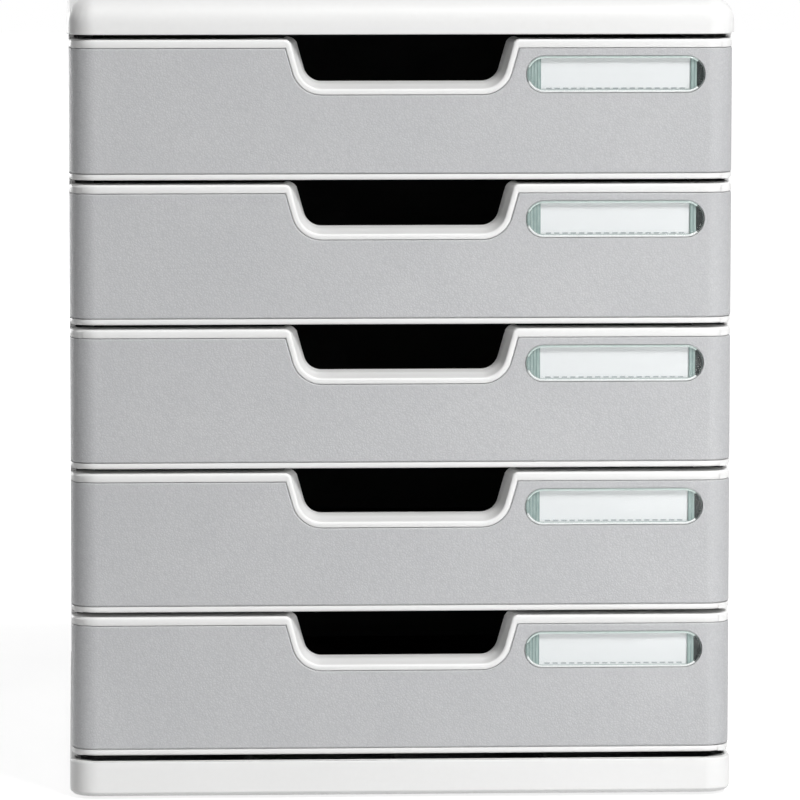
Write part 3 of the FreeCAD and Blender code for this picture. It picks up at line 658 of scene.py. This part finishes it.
def own_piece(name, shape, finishes, body):
    """A piece of the scene's own, with its finishes in order, that rides on a body."""
    piece = added(name, smooth_mesh(name, shape, finishes, angle=40.0))
    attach(piece, body)
    return piece


def add_box(shape, low, high, material=0):
    """A closed box between two corners, in metres."""
    made = bmesh.ops.create_cube(shape, size=1.0)["verts"]
    for vert in made:
        for axis in range(3):
            vert.co[axis] = low[axis] if vert.co[axis] < 0 else high[axis]
    for face in {face for vert in made for face in vert.link_faces}:
        face.material_index = material


def front_panel(number):
    """The inlay, with a soft edge all round but none at the window's hole."""
    drawer = f"drawer_{number}_"
    low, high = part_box(drawer + "label_window")
    margin = Vector((Window.around, Window.around_depth, Window.around)) * MM
    refined(drawer + "front_panel", "panel_grey", 0.7 * MM, 3, sharp_box=(low - margin, high + margin))


def window_cover(number):
    """The clear moulding, with its edge as a finish of its own, which holds painted highlight, shade and
    reflection.
    """
    node = f"drawer_{number}_label_window"
    piece = refined(node, "window_clear", 0.0)
    piece.data.materials.append(clear_edge)
    face_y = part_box(node)[0].y
    shape = bmesh.new()
    shape.from_mesh(piece.data)
    rim = [edge for edge in shape.edges
           if all(abs(vert.co.y - face_y) < SAME for vert in edge.verts)
           and any(abs(face.normal.y) < 0.5 for face in edge.link_faces)]
    bmesh.ops.bevel(shape, geom=rim, offset=Window.edge * MM, segments=Window.edge_parts, profile=0.5,
                    affect="EDGES")
    for face in shape.faces:
        face.smooth = True
        if abs(face.normal.y) < Window.ahead_share:
            face.material_index = 1
    shape.to_mesh(piece.data)
    shape.free()
    piece.data.set_sharp_from_angle(angle=math.radians(Window.edge_angle))


def window_ribs(number):
    """Upright ribs in both ends of the moulding, pale on the left with darker grooves of painted shade, and
    near black in the right end's curve as a painted dark reflection.
    """
    low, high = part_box(f"drawer_{number}_label_window")
    card_low, card_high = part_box(f"drawer_{number}_label_card")
    radius = (high.z - low.z) / 2
    reach = radius - Window.rib_inset * MM
    middle_z = (high.z + low.z) / 2
    front = low.y + Window.lens_back * MM
    back = card_low.y - Window.card_gap * MM
    shape = bmesh.new()
    for side, card_x, round_x in ((-1, card_low.x, low.x + radius), (1, card_high.x, high.x - radius)):
        x = card_x
        end = round_x + side * reach
        narrow = True
        while (end - x) * side > Window.groove * MM:
            wide = (Window.groove if narrow else Window.rib) * MM
            next_x = x + side * min(wide, abs(end - x))
            out = max((x - round_x) * side, (next_x - round_x) * side, 0.0)
            half = math.sqrt(reach ** 2 - min(out, reach * Window.tip_share) ** 2)
            # the ribs in the right end's curve are near black, a painted dark reflection
            dark = side > 0 and (end - x) * side < Window.dark_reach * MM
            sunk = Window.rib_step * MM if narrow else 0.0
            add_box(shape, (min(x, next_x), front + sunk, middle_z - half),
                    (max(x, next_x), back, middle_z + half), material=2 * dark + narrow)
            x = next_x
            narrow = not narrow
    own_piece(f"drawer_{number}_window_ribs", shape, (pale_rib, pale_groove, dark_rib, dark_groove),
              f"drawer_{number}")


def window_lines(number):
    """The lines that the moulding's thick edge draws inside its outline: green above, a white painted
    highlight below, and a painted dark reflection round the right tip.
    """
    low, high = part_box(f"drawer_{number}_label_window")
    radius = (high.z - low.z) / 2
    middle_z = (high.z + low.z) / 2
    y = low.y + Window.line_depth * MM
    finishes = (white_line, green_line, pale_line, dark_groove)
    shape = bmesh.new()

    def bend(side, first, last, inset):
        """Points round one end of the outline."""
        size = radius - inset * MM
        centre = low.x + radius if side < 0 else high.x - radius
        turns = [math.radians(first + (last - first) * step / Window.line_parts)
                 for step in range(Window.line_parts + 1)]
        return [(centre + side * size * math.cos(turn), middle_z + size * math.sin(turn)) for turn in turns]

    for parts, outer, inner, finish in Window.lines:
        rows = [[shape.verts.new((x, y, z)) for part in parts for x, z in bend(*part, inset)]
                for inset in (outer, inner)]
        for a, b, c, d in zip(rows[0], rows[0][1:], rows[1][1:], rows[1]):
            face = shape.faces.new((a, b, c, d))
            face.normal_update()
            if face.normal.y > 0:
                face.normal_flip()
            face.material_index = finishes.index(finish)
    own_piece(f"drawer_{number}_window_lines", shape, finishes, f"drawer_{number}")


def label_card(number):
    """The paper card; grey dashes of painted shade stand for the holes along its perforated lower edge."""
    node = f"drawer_{number}_label_card"
    low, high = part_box(node)
    shape = bmesh.new()
    add_box(shape, low, high)
    pitch = (Window.dash + Window.dash_space) * MM
    count = int((high.x - low.x - Window.dash_space * MM) / pitch)
    start = (low.x + high.x - count * pitch + Window.dash_space * MM) / 2
    proud = Window.dash_proud * MM
    z = low.z + Window.dash_rise * MM
    for step in range(count):
        x = start + step * pitch
        # each dash is painted shade where a hole of the perforated edge is
        add_box(shape, (x, low.y - proud, z),
                (x + Window.dash * MM, low.y + proud, z + Window.dash_height * MM), material=1)
    piece = own_piece(node + "_shape", shape, (FINISH["card_white"], perforation),
                      f"drawer_{number}")
    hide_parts(node)


refined("lid", "white_plastic", 0.6 * MM, 3)
refined("base", "white_plastic", 0.5 * MM, 3)
refined("left_side_panel", "white_plastic", 0.3 * MM)
refined("right_side_panel", "white_plastic", 0.3 * MM)
refined("back_panel", "white_plastic", 0.4 * MM)
refined("feet", "rubber_grey", 0.3 * MM)
for number in DRAWERS:
    refined(f"drawer_{number}_tray", "tray_charcoal", 0.35 * MM)
    front_shell(number)
    front_panel(number)
    window_cover(number)
    window_ribs(number)
    window_lines(number)
    label_card(number)


# Floor, light and camera

class Floor:
    """The floor lies a little under the feet, and fades into the white behind it."""

    half, drop = 6.0, 0.2 * MM
    grain = (35.0, 4.0)
    dark, light, roughness = (0.50, 0.50, 0.50), (0.54, 0.54, 0.54), 0.9
    fade_places, fade_levels = (0.25, 0.8), (0.80, 1.0)


def shown_as_white(nodes):
    """1 for rays of the camera and for what gloss and clear pieces show, 0 for the light itself."""
    path = nodes.add("ShaderNodeLightPath")
    shown = nodes.joined("MAXIMUM", path.outputs["Is Glossy Ray"], path.outputs["Is Transmission Ray"])
    return nodes.joined("MAXIMUM", path.outputs["Is Camera Ray"], shown)


def pale_floor():
    """A pale floor that holds the object's shadow and fades into the white behind it."""
    finish = Finish("floor_pale")
    place = finish.add("ShaderNodeTexCoord").outputs["Object"]
    grain = finish.ranged(finish.noise(place, *Floor.grain), NOISE, FULL)
    finish.drive("Base Color", finish.mixed(grain, Floor.dark, Floor.light))
    set_sockets(finish.shader, Roughness=Floor.roughness, Specular_IOR_Level=0.0)
    away = finish.add("ShaderNodeVectorMath", operation="LENGTH")
    finish.link(place, away.inputs[0])
    level = finish.ranged(away.outputs["Value"], Floor.fade_places, Floor.fade_levels, smooth=True)
    glow = finish.add("ShaderNodeEmission")
    set_sockets(glow, Color=PURE_WHITE)
    finish.link(finish.joined("MULTIPLY", shown_as_white(finish), level), glow.inputs["Strength"])
    both = finish.add("ShaderNodeAddShader")
    finish.link(finish.shader.outputs["BSDF"], both.inputs[0])
    finish.link(glow.outputs["Emission"], both.inputs[1])
    finish.link(both.outputs["Shader"], finish.tree.nodes["Material Output"].inputs["Surface"])
    mesh = bpy.data.meshes.new("floor")
    corners = [(x * Floor.half, y * Floor.half, -Floor.drop) for x, y in ((-1, -1), (1, -1), (1, 1), (-1, 1))]
    mesh.from_pydata(corners, [], [(0, 1, 2, 3)])
    mesh.materials.append(finish.material)
    floor = added("floor", mesh)


def studio_world(strength):
    """A white world that lights the object at that strength and is seen as plain white."""
    world = bpy.data.worlds.new("studio")
    world.use_nodes = True
    nodes = Nodes(world.node_tree)
    sky = nodes.tree.nodes["Background"]
    set_sockets(sky, Color=PURE_WHITE)
    nodes.link(nodes.ranged(shown_as_white(nodes), FULL, (strength, 1.0)), sky.inputs["Strength"])
    bpy.context.scene.world = world


def soft_lamp(name, place, target, size, power, spread=180):
    """A round lamp, in metres and watts; the spread is the angle of its beam, in degrees."""
    data = bpy.data.lights.new(name, "AREA")
    data.shape = "DISK"
    data.size = size
    data.energy = power
    data.spread = math.radians(spread)
    lamp = added(name, data)
    lamp.location = place
    lamp.rotation_mode = "QUATERNION"
    lamp.rotation_quaternion = (Vector(target) - Vector(place)).to_track_quat("-Z", "Y")


def front_camera(aim, yaw, pitch, roll, distance, focal_pixels):
    """The photograph's view, 800 pixels wide: from far off, a little to the left and above."""
    sensor, image_width = 36.0, 800.0
    yaw, pitch, roll = (math.radians(a) for a in (yaw, pitch, roll))
    ahead = Vector((math.sin(yaw) * math.cos(pitch), math.cos(yaw) * math.cos(pitch), -math.sin(pitch)))
    right = Vector((math.cos(yaw), -math.sin(yaw), 0.0))
    up = right.cross(ahead)
    turned_right = math.cos(roll) * right + math.sin(roll) * up
    turned_up = math.cos(roll) * up - math.sin(roll) * right
    data = bpy.data.cameras.new("camera")
    data.lens = focal_pixels * sensor / image_width
    data.sensor_width = sensor
    data.clip_start = 0.1
    data.clip_end = 30.0
    camera = added("camera", data)
    turn = Matrix((turned_right, turned_up, -ahead)).transposed().to_4x4()
    camera.matrix_world = Matrix.Translation(Vector(aim) - ahead * distance) @ turn
    bpy.context.scene.camera = camera


pale_floor()
studio_world(strength=0.12)
soft_lamp("key", (0.48, -0.78, 0.16), (0.02, -0.17, 0.17), 0.36, 0.75)
soft_lamp("front_top", (1.22, -1.86, 2.85), (0.0, -0.17, 0.18), 1.2, 97.0)
soft_lamp("overhead", (-0.30, -0.24, 1.35), (-0.02, -0.05, 0.3), 0.7, 0.2)
soft_lamp("low_front", (0.34, -0.76, 0.03), (0.06, -0.17, 0.02), 0.3, 1.6)
soft_lamp("low_left", (-0.52, -0.58, 0.03), (-0.15, -0.15, -0.03), 0.12, 0.008, spread=26)
soft_lamp("fill_back", (-1.15, 1.35, 0.42), (0.0, 0.1, 0.15), 0.8, 11.0)
front_camera(aim=(-0.0009, -0.1687, 0.1738), yaw=2.82, pitch=6.3, roll=0.05, distance=2.819,
             focal_pixels=6525.0)

bpy.context.scene.view_settings.view_transform = "Standard"
